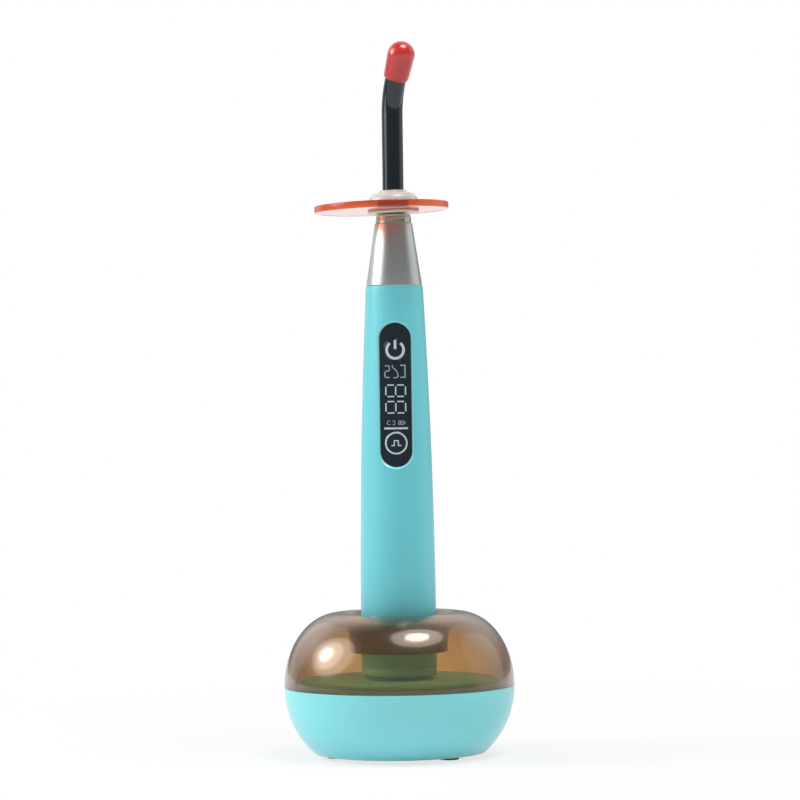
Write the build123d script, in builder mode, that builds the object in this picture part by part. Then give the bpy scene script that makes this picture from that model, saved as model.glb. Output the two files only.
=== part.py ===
from build123d import *
from math import cos, hypot, radians, sin, sqrt
import os

# Cordless curing light standing in its charging dock. Millimetres, +Z up, the display faces -Y.
# The origin is on the table, under the middle of the dock.

# Gaps
slip = 0.05            # a turning or sliding fit, on the radius
loose = 0.15           # pieces that drop into each other
clear = 0.4            # pieces that must never touch
overrun = 4.0          # how far a cut runs past what it cuts

# Dock bowl
base_radius = 43.7
bottom_radius = 32.5
bowl_height = 25.1
bowl_wall = 2.4
bowl_floor = 2.0
bottom_rounding = 1.4
ledge_width = 3.2
ledge_thickness = 2.0
ledge_depth = 1.9      # ledge top below the seam
foot_height = 1.3
foot_diameter = 7.4
foot_recess = 1.0
foot_chamfer = 0.3
foot_margin = 1.8      # plate's edge outside the feet
foot_count = 3
foot_angle = -43.0     # where the first foot is, right of the dock's front
plate_radius = 30.5
plate_thickness = 1.2
plate_step = 2.7       # how far the plate's raised middle is smaller than its flange

# Smoked dock cover
cover_height = 27.9
cover_wall = 2.6
crest_radius = 23.0
dimple_depth = 11.3
well_gap = 1.4         # between the handpiece and the neck round it
neck_length = 3.7
neck_wall = 2.8
neck_rounding = 0.7
spigot_depth = 1.8
spigot_wall = 1.2
spigot_grip = 1.0

# Dock deck, with the seat that the handpiece stands on
deck_step = 1.8        # the deck's top is this much smaller than its flange, on the radius
deck_rise = 2.6
deck_wall = 1.8
deck_flange_thickness = 1.6
deck_rounding = 1.2
seat_radius = 12.5
seat_rise = 1.1
seat_rounding = 0.35
post_radius = 3.2
post_circle_radius = 20.0
post_count = 4

# Fasteners
base_screw_radius = 1.25
base_screw_length = 11.0
base_screw_head_radius = 2.3
base_screw_head_height = 1.4
base_screw_sink = 0.4
drive_slot = 0.6
drive_length = 2.8
drive_depth = 0.7
board_screw_radius = 0.8
board_screw_head_radius = 1.5
board_screw_head_height = 0.8
board_screw_inset = 2.2
board_drive_slot = 0.3
board_drive_length = 1.8
board_drive_depth = 0.4

# Inside the dock
ballast_radius = 27.0
ballast_bore_radius = 9.0
ballast_thickness = 5.0
dock_board_radius = 33.0
dock_board_thickness = 1.6
dock_board_drop = 5.2  # board top below the deck's underside
board_tongue_width = 14.0
pin_block_radius = 10.0
inlet_width = 9.0
inlet_height = 3.3
inlet_length = 7.4
inlet_wall = 0.35
inlet_back_wall = 1.0
inlet_tongue_thickness = 0.7
inlet_tongue_drop = 0.7
inlet_recess = 1.4
relief_margin = 2.0
relief_depth = 1.0

# Spring-loaded charging pins and the contacts they meet
pin_radius = 1.0
pin_collar_radius = 1.3
pin_collar_height = 0.8
pin_length = 6.6
pin_travel = 0.8
pin_rounding = 0.6
centre_contact_radius = 2.0
outer_contact_radius = 6.5
contact_width = 2.0
contact_thickness = 0.8
contact_inset = 0.1
pin_gap = 0.15
seat_gap = 0.1

# Handpiece sleeve
grip_radius = 14.35
grip_top_radius = 10.8
grip_length = 148.0
grip_straight = 10.0
sleeve_wall = 2.2
sleeve_rounding = 0.45
end_cap_height = 4.0
end_cap_rounding = 1.0
plug_height = 4.0
plug_wall = 1.6

# Window and keys
window_width = 11.8
window_length = 54.3
window_height = 106.5  # window centre above the handpiece's end
window_bevel = 0.8
panel_inset = 0.6
panel_thickness = 1.6
key_radius = 4.4
key_travel = 0.4
key_pitch = 35.1
key_drop = 0.6         # the keys' middle is this far below the window's
key_flange = 0.8
key_flange_thickness = 0.4
key_stem_radius = 1.5

# Inside the handpiece
battery_radius = 9.1
battery_length = 65.0
battery_lift = 10.8    # battery bottom above the handpiece's end
battery_rounding = 0.5
terminal_radius = 3.0
terminal_height = 1.0
leaf_radius = 4.4
leaf_thickness = 0.5
leaf_button_radius = 2.4
frame_wall = 1.4
frame_disc_thickness = 1.5
board_front = 5.2      # board face, in front of the axis
main_board_thickness = 1.2
main_board_width = 13.0
board_lift = 1.0       # board's lower end above the frame's disc
board_rise = 3.6       # board's upper end above the upper key
display_width = 9.0
display_length = 23.0
display_thickness = 1.8
switch_size = 3.6
switch_height = 1.5

# Nose
cone_height = 23.7
cone_radius = 10.6
cone_top_radius = 7.1
cone_wall = 1.8
cone_spigot_length = 7.0
cone_spigot_wall = 1.3
seal_section_radius = 0.45
sink_radius = 7.0
sink_length = 13.5
sink_core_radius = 3.5
sink_groove = 1.0
groove_count = 4
led_radius = 6.4
led_board_thickness = 1.2
led_chip_size = 3.0
led_chip_height = 0.8
lens_foot_radius = 2.4
lens_rim = 0.8
lens_flare_angle = 22.0      # slope of the lens's side at its foot
lens_radius = 6.0
lens_height = 4.6
ring_height = 3.5
ring_radius = 6.85
ring_top_radius = 6.45
ring_spigot_length = 2.0
ring_spigot_wall = 0.9

# Light guide
guide_radius = 4.0
ferrule_wall = 0.9
ferrule_lip = 0.6
o_ring_section_radius = 0.5
o_ring_height = 0.8
guide_straight = 50.6  # from the rod's lower end to the start of the bend
guide_bend_radius = 30.0
guide_bend_angle = 26.0
guide_turn_angle = 30.0 # the bend points this far to the right of straight ahead
guide_tip_length = 9.0

# Cap on the guide's tip
cap_wall = 0.75
cap_flare = 0.35
cap_grip = 8.7
cap_dome_wall = 0.9
cap_rim_height = 1.2
cap_rim_taper = 0.25

# Shield and the soft hub that holds it
shield_radius = 25.5
shield_thickness = 2.6
shield_offset = 4.5    # the shield's hole is this far off its middle
shield_tilt_angle = 1.6
shield_rounding = 0.4
hub_radius = 6.0
hub_flange_radius = 9.8
hub_flange_thickness = 1.1
hub_flange_rounding = 0.35
hub_dome_radius = 9.5
hub_dome_height = 4.2
hub_dome_rounding = 3.8
hub_neck_radius = 5.2
hub_neck_height = 0.8
hub_neck_rounding = 0.4
hub_lift = 0.35        # gap between the hub and the ring below it


# Heights that follow from the sizes above
seam_z = foot_height + bowl_height
crest_z = seam_z + cover_height
plate_top_z = foot_height + plate_thickness + bowl_floor
foot_circle_radius = plate_radius - foot_margin - foot_diameter / 2
ledge_z = seam_z - ledge_depth
deck_z = seam_z + deck_rise
deck_under_z = deck_z - deck_wall
seat_z = deck_z + seat_rise
end_z = seat_z + seat_gap
sleeve_bottom_z = end_z + end_cap_height
grip_top_z = end_z + grip_length
grip_curve_z = end_z + grip_straight
window_z = end_z + window_height
upper_key_z = window_z - key_drop + key_pitch / 2
lower_key_z = window_z - key_drop - key_pitch / 2
cone_top_z = grip_top_z + cone_height
ring_top_z = cone_top_z + ring_height
hub_bottom_z = ring_top_z + hub_lift
shield_mid_z = hub_bottom_z + hub_flange_thickness + shield_thickness / 2
battery_z = end_z + battery_lift
battery_top_z = battery_z + battery_length
frame_shelf_z = battery_top_z + loose
dock_board_z = deck_under_z - dock_board_drop - dock_board_thickness

bowl_arc_radius = (
    (base_radius - bottom_radius) ** 2 + bowl_height**2
) / (2 * (base_radius - bottom_radius))
rim_inside_radius = base_radius - bowl_wall
cover_inside_radius = base_radius - cover_wall
spigot_radius = rim_inside_radius - loose
deck_flange_radius = spigot_radius - spigot_wall - loose
deck_radius = deck_flange_radius - deck_step
well_radius = grip_radius + well_gap
neck_radius = well_radius + neck_wall

grip_curve_height = grip_top_z - grip_curve_z
grip_drop = grip_radius - grip_top_radius
grip_arc_radius = (grip_curve_height**2 + grip_drop**2) / (2 * grip_drop)


def bowl_radius_at(z, inset=0.0):
    """Radius of the bowl's outside, or of a surface inside it, at a height."""
    middle = base_radius - bowl_arc_radius
    return middle + sqrt((bowl_arc_radius - inset) ** 2 - (seam_z - z) ** 2)


def grip_radius_at(z, inset=0.0):
    """Radius of the handpiece's sleeve, or of a surface inside it, at a height."""
    rise = max(z - grip_curve_z, 0.0)
    return grip_radius - grip_arc_radius + sqrt(grip_arc_radius**2 - rise**2) - inset


def grip_solid(inset, low, high):
    """Sketch of the sleeve's outline, inset from its outside, between two heights."""
    with BuildSketch(Plane.XZ) as outline:
        with BuildLine():
            Polyline((grip_radius_at(high, inset), high), (0, high), (0, low), (grip_radius - inset, low),
                     (grip_radius - inset, grip_curve_z))
            TangentArc((grip_radius - inset, grip_curve_z), (grip_radius_at(high, inset), high),
                       tangent=(0, 1))
        make_face()
    return outline.sketch


def front_distance(radius, half_width):
    """How far in front of the axis a round surface lies at a given half width."""
    return sqrt(radius**2 - half_width**2)


def save(part, name):
    part.label = name
    export_step(part, f"parts/{name}.step")


os.makedirs("parts", exist_ok=True)
post_places = PolarLocations(post_circle_radius, post_count)
foot_places = PolarLocations(foot_circle_radius, foot_count, start_angle=foot_angle)

# The bowl: a thin round shell with a ledge for the deck and an opening for the plate
with BuildPart() as dock_bowl:
    with BuildSketch(Plane.XZ) as bowl_outside:
        with BuildLine():
            TangentArc((base_radius, seam_z), (bottom_radius, foot_height), tangent=(0, -1))
            Polyline((bottom_radius, foot_height), (0, foot_height), (0, seam_z), (base_radius, seam_z))
        make_face()
        fillet(bowl_outside.vertices().sort_by(Axis.Y)[:2].sort_by(Axis.X)[-1], bottom_rounding)
    revolve(axis=Axis.Z)
    with BuildSketch(Plane.XZ) as bowl_inside:
        with BuildLine():
            TangentArc((rim_inside_radius, seam_z), (bowl_radius_at(plate_top_z, bowl_wall), plate_top_z),
                       tangent=(0, -1))
            Polyline((bowl_radius_at(plate_top_z, bowl_wall), plate_top_z), (0, plate_top_z), (0, seam_z),
                     (rim_inside_radius, seam_z))
        make_face()
    revolve(axis=Axis.Z, mode=Mode.SUBTRACT)
    with BuildSketch(Plane.XZ) as ledge:
        with Locations((rim_inside_radius - ledge_width, ledge_z)):
            Rectangle(ledge_width + bowl_wall / 2, ledge_thickness, align=(Align.MIN, Align.MAX))
    revolve(axis=Axis.Z)
    with BuildSketch(Plane.XY.offset(foot_height)):
        Circle(plate_radius + loose)
    extrude(amount=plate_thickness, mode=Mode.SUBTRACT)
    with BuildSketch(Plane.XY.offset(foot_height)):
        Circle(plate_radius - plate_step + loose)
    extrude(amount=plate_thickness + bowl_floor, mode=Mode.SUBTRACT)
    inlet_z = dock_board_z - inlet_height / 2
    inlet_face = Plane(origin=(0, bowl_radius_at(inlet_z), inlet_z), x_dir=(-1, 0, 0), z_dir=(0, 1, 0))
    with BuildSketch(inlet_face.offset(-bowl_wall - overrun)):
        SlotOverall(inlet_width + 2 * loose, inlet_height + 2 * loose)
    extrude(amount=bowl_wall + 2 * overrun, mode=Mode.SUBTRACT)
    with BuildSketch(inlet_face.offset(-relief_depth)):
        SlotOverall(inlet_width + 2 * relief_margin, inlet_height + 2 * relief_margin)
    extrude(amount=relief_depth + overrun, mode=Mode.SUBTRACT)
save(dock_bowl.part, "dock_bowl")

# The smoked cover: two elliptical quarters meet at the crest and turn down into the neck
outer_reach = base_radius - crest_radius
lip_reach = crest_radius - well_radius
neck_top_z = crest_z - dimple_depth
neck_bottom_z = neck_top_z - neck_length
with BuildPart() as dock_cover:
    with BuildSketch(Plane.XZ):
        with BuildLine():
            EllipticalCenterArc((crest_radius, seam_z), outer_reach, cover_height, start_angle=0,
                                arc_size=90)
            EllipticalCenterArc((crest_radius, neck_top_z), lip_reach, dimple_depth, start_angle=90,
                                arc_size=90)
            Polyline((well_radius, neck_top_z), (well_radius, neck_bottom_z), (neck_radius, neck_bottom_z),
                     (neck_radius, neck_top_z))
            EllipticalCenterArc((crest_radius, neck_top_z), lip_reach - neck_wall,
                                dimple_depth - cover_wall, start_angle=90, arc_size=90)
            EllipticalCenterArc((crest_radius, seam_z), outer_reach - cover_wall,
                                cover_height - cover_wall, start_angle=0, arc_size=90)
            Line((cover_inside_radius, seam_z), (base_radius, seam_z))
        make_face()
    revolve(axis=Axis.Z)
    fillet(dock_cover.edges().filter_by(GeomType.CIRCLE).filter_by_position(
        Axis.Z, neck_bottom_z - slip, neck_bottom_z + slip), neck_rounding)
    with BuildSketch(Plane.XZ):
        with Locations((spigot_radius - spigot_wall, seam_z - spigot_depth)):
            Rectangle(spigot_wall, spigot_depth + spigot_grip, align=(Align.MIN, Align.MIN))
    revolve(axis=Axis.Z)
save(dock_cover.part, "dock_cover")

# The deck: a raised round table under the cover, with a seat and four hollow posts below
with BuildPart() as dock_deck:
    with BuildSketch(Plane.XZ):
        with BuildLine():
            Polyline((0, deck_z), (deck_radius, deck_z), (deck_radius, ledge_z + deck_flange_thickness),
                     (deck_flange_radius, ledge_z + deck_flange_thickness), (deck_flange_radius, ledge_z),
                     (deck_radius - deck_wall, ledge_z), (deck_radius - deck_wall, deck_under_z),
                     (0, deck_under_z), close=True)
        make_face()
    revolve(axis=Axis.Z)
    fillet(dock_deck.edges().filter_by(GeomType.CIRCLE).group_by(Axis.Z)[-1], deck_rounding)
    with BuildSketch(Plane.XY.offset(deck_z)):
        Circle(seat_radius)
    extrude(amount=seat_rise)
    fillet(dock_deck.edges().group_by(Axis.Z)[-1], seat_rounding)
    with BuildSketch(Plane.XY.offset(plate_top_z)):
        with post_places:
            Circle(post_radius)
    extrude(amount=deck_under_z + deck_wall / 2 - plate_top_z)
    with BuildSketch(Plane.XY.offset(plate_top_z)):
        with post_places:
            Circle(base_screw_radius + slip)
    extrude(amount=base_screw_length, mode=Mode.SUBTRACT)
    with BuildSketch(Plane.XY.offset(deck_under_z)):
        with Locations((0, 0), (outer_contact_radius, 0)):
            Circle(pin_radius + slip)
    extrude(amount=deck_wall + seat_rise, mode=Mode.SUBTRACT)
save(dock_deck.part, "dock_deck")

with BuildPart() as bottom_plate:
    with BuildSketch(Plane.XY.offset(foot_height)):
        Circle(plate_radius)
    extrude(amount=plate_thickness)
    with BuildSketch(Plane.XY.offset(foot_height)):
        Circle(plate_radius - plate_step)
    extrude(amount=plate_thickness + bowl_floor)
    head_top_z = foot_height + base_screw_sink + base_screw_head_height
    with BuildSketch(Plane.XY.offset(foot_height)):
        with post_places:
            Circle(base_screw_head_radius + loose)
    extrude(amount=base_screw_sink + base_screw_head_height, mode=Mode.SUBTRACT)
    with BuildSketch(Plane.XY.offset(foot_height)):
        with post_places:
            Circle(base_screw_radius + loose)
    extrude(amount=plate_thickness + bowl_floor, mode=Mode.SUBTRACT)
    with BuildSketch(Plane.XY.offset(foot_height)):
        with foot_places:
            Circle(foot_diameter / 2)
    extrude(amount=foot_recess, mode=Mode.SUBTRACT)
save(bottom_plate.part, "bottom_plate")

with BuildPart() as rubber_feet:
    with BuildSketch(Plane.XY):
        with foot_places:
            Circle(foot_diameter / 2)
    extrude(amount=foot_height + foot_recess)
    chamfer(rubber_feet.edges().group_by(Axis.Z)[0], foot_chamfer)
save(rubber_feet.part, "rubber_feet")

with BuildPart() as base_screws:
    with BuildSketch(Plane.XY.offset(head_top_z)):
        with post_places:
            Circle(base_screw_head_radius)
    extrude(amount=-base_screw_head_height)
    with BuildSketch(Plane.XY.offset(head_top_z)):
        with post_places:
            Circle(base_screw_radius)
    extrude(amount=base_screw_length)
    with BuildSketch(Plane.XY.offset(head_top_z - base_screw_head_height)):
        with post_places:
            Rectangle(drive_length, drive_slot)
            Rectangle(drive_slot, drive_length)
    extrude(amount=drive_depth, mode=Mode.SUBTRACT)
save(base_screws.part, "base_screws")

with BuildPart() as ballast_ring:
    with BuildSketch(Plane.XY.offset(plate_top_z + loose)):
        Circle(ballast_radius)
        Circle(ballast_bore_radius, mode=Mode.SUBTRACT)
        with post_places:
            Circle(post_radius + clear, mode=Mode.SUBTRACT)
    extrude(amount=ballast_thickness)
save(ballast_ring.part, "ballast_ring")

# The dock's circuit board, with a tongue at the back that carries the charging inlet
inlet_mouth_y = bowl_radius_at(inlet_z) - inlet_recess
tongue_reach = front_distance(bowl_radius_at(dock_board_z, bowl_wall), board_tongue_width / 2) - clear
with BuildPart() as dock_board:
    with BuildSketch(Plane.XY.offset(dock_board_z)):
        Circle(dock_board_radius)
        Rectangle(board_tongue_width, tongue_reach, align=(Align.CENTER, Align.MIN))
        with post_places:
            Circle(post_radius + clear, mode=Mode.SUBTRACT)
    extrude(amount=dock_board_thickness)
save(dock_board.part, "dock_board")

with BuildPart() as charging_inlet:
    inlet_mouth = Plane(origin=(0, inlet_mouth_y, inlet_z), x_dir=(-1, 0, 0), z_dir=(0, 1, 0))
    with BuildSketch(inlet_mouth):
        SlotOverall(inlet_width, inlet_height)
    extrude(amount=-inlet_length)
    with BuildSketch(inlet_mouth):
        SlotOverall(inlet_width - 2 * inlet_wall, inlet_height - 2 * inlet_wall)
    extrude(amount=inlet_back_wall - inlet_length, mode=Mode.SUBTRACT)
    with BuildSketch(inlet_mouth.offset(-inlet_length)):
        Rectangle(inlet_width - inlet_height, inlet_tongue_thickness)
    extrude(amount=inlet_length - inlet_tongue_drop)
save(charging_inlet.part, "charging_inlet")

# The block under the seat in which the two charging pins slide
pin_top_z = end_z + contact_inset - pin_gap
pin_bottom_z = pin_top_z - pin_length
pin_collar_z = deck_under_z - slip - pin_collar_height
pin_places = {"inner_charge_pin": 0.0, "outer_charge_pin": outer_contact_radius}
with BuildPart() as pin_block:
    block_bottom_z = dock_board_z + dock_board_thickness
    with BuildSketch(Plane.XY.offset(block_bottom_z)):
        Circle(pin_block_radius)
    extrude(amount=deck_under_z - block_bottom_z)
    with BuildSketch(Plane.XY.offset(deck_under_z)):
        with Locations(*[(place, 0) for place in pin_places.values()]):
            Circle(pin_collar_radius + slip)
    extrude(amount=-(deck_under_z - min(pin_bottom_z - pin_travel, pin_collar_z) + loose),
            mode=Mode.SUBTRACT)
save(pin_block.part, "pin_block")

for pin_name, pin_place in pin_places.items():
    with BuildPart() as charge_pin:
        with BuildSketch(Plane.XY.offset(pin_bottom_z)):
            with Locations((pin_place, 0)):
                Circle(pin_radius)
        extrude(amount=pin_length)
        fillet(charge_pin.edges().group_by(Axis.Z)[-1], pin_rounding)
        with BuildSketch(Plane.XY.offset(pin_collar_z)):
            with Locations((pin_place, 0)):
                Circle(pin_collar_radius)
        extrude(amount=pin_collar_height)
    save(charge_pin.part, pin_name)

# The handpiece's end cap, with a centre contact and a ring contact let into its face
with BuildPart() as end_cap:
    with BuildSketch(Plane.XY.offset(end_z)):
        Circle(grip_radius)
    extrude(amount=end_cap_height)
    fillet(end_cap.edges().group_by(Axis.Z)[0], end_cap_rounding)
    with BuildSketch(Plane.XY.offset(sleeve_bottom_z)):
        Circle(grip_radius - sleeve_wall - loose)
        Circle(grip_radius - sleeve_wall - loose - plug_wall, mode=Mode.SUBTRACT)
    extrude(amount=plug_height)
    with BuildSketch(Plane.XY.offset(end_z)):
        Circle(outer_contact_radius + contact_width / 2)
        Circle(outer_contact_radius - contact_width / 2, mode=Mode.SUBTRACT)
        Circle(centre_contact_radius)
    extrude(amount=contact_inset + contact_thickness, mode=Mode.SUBTRACT)
save(end_cap.part, "end_cap")

with BuildPart() as centre_contact:
    with BuildSketch(Plane.XY.offset(end_z + contact_inset)):
        Circle(centre_contact_radius)
    extrude(amount=contact_thickness)
save(centre_contact.part, "centre_contact")

with BuildPart() as ring_contact:
    with BuildSketch(Plane.XY.offset(end_z + contact_inset)):
        Circle(outer_contact_radius + contact_width / 2)
        Circle(outer_contact_radius - contact_width / 2, mode=Mode.SUBTRACT)
    extrude(amount=contact_thickness)
save(ring_contact.part, "ring_contact")

# The sleeve: one long tapering tube with a bevelled window in its front
window_plane = Plane.XZ
with BuildPart() as grip_sleeve:
    add(grip_solid(0, sleeve_bottom_z, grip_top_z))
    revolve(axis=Axis.Z)
    fillet(grip_sleeve.edges().group_by(Axis.Z)[-1], sleeve_rounding)
    add(grip_solid(sleeve_wall, sleeve_bottom_z, grip_top_z))
    revolve(axis=Axis.Z, mode=Mode.SUBTRACT)
    with BuildSketch(window_plane):
        with Locations((0, window_z)):
            SlotOverall(window_length, window_width, rotation=90)
    extrude(amount=grip_radius * 2, mode=Mode.SUBTRACT)
    window_edges = grip_sleeve.edges().filter_by(
        lambda edge: edge.center().Z > window_z - window_length
        and edge.center().Z < window_z + window_length
        and hypot((edge @ 0.5).X, (edge @ 0.5).Y) > grip_radius_at((edge @ 0.5).Z, sleeve_wall / 4)
        and (edge @ 0.5).Y < 0
        and abs((edge @ 0.5).X) < window_width / 2 + slip
    )
    chamfer(window_edges, window_bevel)
save(grip_sleeve.part, "grip_sleeve")

# The glossy panel that fills the window, with a hole for each key
with BuildPart() as window_panel:
    add(grip_solid(panel_inset, sleeve_bottom_z, grip_top_z))
    revolve(axis=Axis.Z)
    with BuildSketch(window_plane):
        with Locations((0, window_z)):
            SlotOverall(window_length - 2 * slip, window_width - 2 * slip, rotation=90)
    extrude(amount=grip_radius * 2, mode=Mode.INTERSECT)
    add(grip_solid(panel_inset + panel_thickness, sleeve_bottom_z, grip_top_z))
    revolve(axis=Axis.Z, mode=Mode.SUBTRACT)
    with BuildSketch(window_plane):
        with Locations((0, upper_key_z), (0, lower_key_z)):
            Circle(key_radius + loose)
    extrude(amount=grip_radius * 2, mode=Mode.SUBTRACT)
save(window_panel.part, "window_panel")

# Each key: a curved face that follows the panel, a flange that keeps it in, and a stem
switch_face = board_front + switch_height
for key_name, key_z in {"power_key": upper_key_z, "mode_key": lower_key_z}.items():
    flange_radius = key_radius + key_flange
    inside_radius = grip_radius_at(key_z + flange_radius, panel_inset + panel_thickness)
    flange_face = front_distance(inside_radius, flange_radius) - loose
    stem_end = switch_face + key_travel + loose
    with BuildPart() as key:
        add(grip_solid(panel_inset, sleeve_bottom_z, grip_top_z))
        revolve(axis=Axis.Z)
        with BuildSketch(window_plane.offset(flange_face - key_flange_thickness)):
            with Locations((0, key_z)):
                Circle(key_radius)
        extrude(amount=grip_radius * 2, mode=Mode.INTERSECT)
        with BuildSketch(window_plane.offset(flange_face - key_flange_thickness)):
            with Locations((0, key_z)):
                Circle(flange_radius)
        extrude(amount=key_flange_thickness)
        with BuildSketch(window_plane.offset(stem_end)):
            with Locations((0, key_z)):
                Circle(key_stem_radius)
        extrude(amount=flange_face - stem_end)
    save(key.part, key_name)

# The board behind the window, with the display and a switch behind each key
board_back = board_front - main_board_thickness
board_low_z = frame_shelf_z + frame_disc_thickness + board_lift
board_high_z = upper_key_z + key_radius + board_rise
board_places = GridLocations(main_board_width - 2 * board_screw_inset,
                             board_high_z - board_low_z - 2 * board_screw_inset, 2, 2)
board_middle = Plane(origin=(0, 0, (board_low_z + board_high_z) / 2), x_dir=(1, 0, 0), z_dir=(0, -1, 0))
with BuildPart() as main_board:
    with BuildSketch(board_middle.offset(board_back)):
        Rectangle(main_board_width, board_high_z - board_low_z)
        with board_places:
            Circle(board_screw_radius + slip, mode=Mode.SUBTRACT)
    extrude(amount=main_board_thickness)
save(main_board.part, "main_board")

with BuildPart() as board_screws:
    with BuildSketch(board_middle.offset(board_front)):
        with board_places:
            Circle(board_screw_head_radius)
    extrude(amount=board_screw_head_height)
    with BuildSketch(board_middle.offset(board_front)):
        with board_places:
            Circle(board_screw_radius)
    extrude(amount=-main_board_thickness - frame_wall)
    with BuildSketch(board_middle.offset(board_front + board_screw_head_height)):
        with board_places:
            Rectangle(board_drive_length, board_drive_slot)
            Rectangle(board_drive_slot, board_drive_length)
    extrude(amount=-board_drive_depth, mode=Mode.SUBTRACT)
save(board_screws.part, "board_screws")

with BuildPart() as display_module:
    with BuildSketch(window_plane.offset(board_front)):
        with Locations((0, window_z)):
            Rectangle(display_width, display_length)
    extrude(amount=display_thickness)
save(display_module.part, "display_module")

with BuildPart() as key_switches:
    with BuildSketch(window_plane.offset(board_front)):
        with Locations((0, upper_key_z), (0, lower_key_z)):
            Rectangle(switch_size, switch_size)
    extrude(amount=switch_height)
save(key_switches.part, "key_switches")

# The battery stands on its end, with a raised terminal on top
with BuildPart() as battery:
    with BuildSketch(Plane.XY.offset(battery_z)):
        Circle(battery_radius)
    extrude(amount=battery_length - terminal_height)
    fillet(battery.edges(), battery_rounding)
    with BuildSketch(Plane.XY.offset(battery_top_z - terminal_height)):
        Circle(terminal_radius)
    extrude(amount=terminal_height)
save(battery.part, "battery")

# The inner frame: a half trough round the battery, closed by two discs, and a spine for the board
trough_radius = battery_radius + loose + frame_wall
frame_bottom_z = sleeve_bottom_z + plug_height + loose
spine_top_z = grip_top_z - cone_spigot_length - clear
with BuildPart() as inner_frame:
    with BuildSketch(Plane.XY.offset(frame_bottom_z)):
        Circle(grip_radius - sleeve_wall - loose)
    extrude(amount=frame_disc_thickness)
    with BuildSketch(Plane.XY.offset(frame_bottom_z)) as trough:
        Circle(trough_radius)
        with Locations((0, -trough_radius)):
            Rectangle(2 * trough_radius, 2 * trough_radius, mode=Mode.SUBTRACT)
        Circle(trough_radius - frame_wall, mode=Mode.SUBTRACT)
    extrude(amount=frame_shelf_z - frame_bottom_z)
    with BuildSketch(Plane.XY.offset(frame_shelf_z)):
        Circle(trough_radius)
    extrude(amount=frame_disc_thickness)
    with BuildSketch(Plane.XY.offset(frame_shelf_z)):
        with Locations((0, -board_back)):
            Rectangle(main_board_width, frame_wall, align=(Align.CENTER, Align.MIN))
            Rectangle(frame_wall, 2 * board_back, align=(Align.CENTER, Align.MIN))
    extrude(amount=spine_top_z - frame_shelf_z)
    with BuildSketch(Plane.XY.offset(spine_top_z)):
        Circle(grip_radius_at(spine_top_z, sleeve_wall) - loose)
    extrude(amount=-frame_disc_thickness)
    with BuildSketch(Plane.XY.offset(frame_shelf_z)):
        Circle(leaf_radius + slip)
    extrude(amount=leaf_thickness, mode=Mode.SUBTRACT)
    with BuildSketch(board_middle.offset(board_back)):
        with board_places:
            Circle(board_screw_radius + slip)
    extrude(amount=-frame_wall, mode=Mode.SUBTRACT)
save(inner_frame.part, "inner_frame")

# Leaf contacts on the two discs, with a raised button that presses on each end of the battery
lower_leaf_z = frame_bottom_z + frame_disc_thickness
upper_leaf_z = frame_shelf_z
with BuildPart() as battery_contacts:
    with BuildSketch(Plane.XY.offset(lower_leaf_z), Plane.XY.offset(upper_leaf_z)):
        Circle(leaf_radius)
    extrude(amount=leaf_thickness)
    with BuildSketch(Plane.XY.offset(lower_leaf_z)):
        Circle(leaf_button_radius)
    extrude(amount=battery_z - lower_leaf_z)
    with BuildSketch(Plane.XY.offset(upper_leaf_z)):
        Circle(leaf_button_radius)
    extrude(amount=-loose)
save(battery_contacts.part, "battery_contacts")

# The metal nose: a hollow cone on a spigot that plugs into the sleeve
spigot_outside = grip_radius_at(grip_top_z, sleeve_wall) - slip
spigot_inside = spigot_outside - cone_spigot_wall
guide_bore = guide_radius + slip + ferrule_wall + slip
sink_top_z = grip_top_z + sink_length / 2
lens_top_z = sink_top_z + led_board_thickness + led_chip_height + loose + lens_height
bore_z = lens_top_z + clear
seal_z = grip_top_z - cone_spigot_length / 2


def cone_radius_at(z):
    """Outside radius of the nose at a height."""
    return cone_radius + (cone_top_radius - cone_radius) * (z - grip_top_z) / cone_height


with BuildPart() as nose_cone:
    with BuildSketch(Plane.XZ):
        with BuildLine():
            Polyline((spigot_inside, grip_top_z - cone_spigot_length),
                     (spigot_outside, grip_top_z - cone_spigot_length), (spigot_outside, grip_top_z + slip),
                     (cone_radius, grip_top_z + slip), (cone_top_radius, cone_top_z),
                     (guide_bore, cone_top_z), (guide_bore, bore_z), (lens_radius + loose, bore_z),
                     (cone_radius_at(sink_top_z) - cone_wall, sink_top_z),
                     (spigot_inside, grip_top_z), close=True)
        make_face()
    revolve(axis=Axis.Z)
    with BuildSketch(Plane.XY.offset(cone_top_z - ring_spigot_length)):
        Circle(guide_bore + ring_spigot_wall + loose)
        Circle(guide_bore - slip, mode=Mode.SUBTRACT)
    extrude(amount=ring_spigot_length, mode=Mode.SUBTRACT)
    with BuildSketch(Plane.XZ):
        with Locations((spigot_outside, seal_z)):
            Rectangle(4 * seal_section_radius, 2 * seal_section_radius)
    revolve(axis=Axis.Z, mode=Mode.SUBTRACT)
    fillet(nose_cone.edges().filter_by(GeomType.CIRCLE).filter_by(
        lambda edge: abs(edge.radius - cone_radius) < slip or abs(edge.radius - cone_top_radius) < slip),
        loose)
save(nose_cone.part, "nose_cone")

with BuildPart() as nose_seal:
    with BuildSketch(Plane.XZ):
        with Locations((spigot_outside - seal_section_radius + slip, seal_z)):
            Circle(seal_section_radius - slip)
    revolve(axis=Axis.Z)
save(nose_seal.part, "nose_seal")

# The heat sink: a metal slug with grooves turned into it
with BuildPart() as heat_sink:
    with BuildSketch(Plane.XY.offset(sink_top_z)):
        Circle(sink_radius)
    extrude(amount=-sink_length)
    for groove in range(groove_count):
        groove_z = sink_top_z - sink_length * (groove + 1) / (groove_count + 1)
        with BuildSketch(Plane.XY.offset(groove_z - sink_groove / 2)):
            Circle(sink_radius)
            Circle(sink_core_radius, mode=Mode.SUBTRACT)
        extrude(amount=sink_groove, mode=Mode.SUBTRACT)
save(heat_sink.part, "heat_sink")

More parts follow.
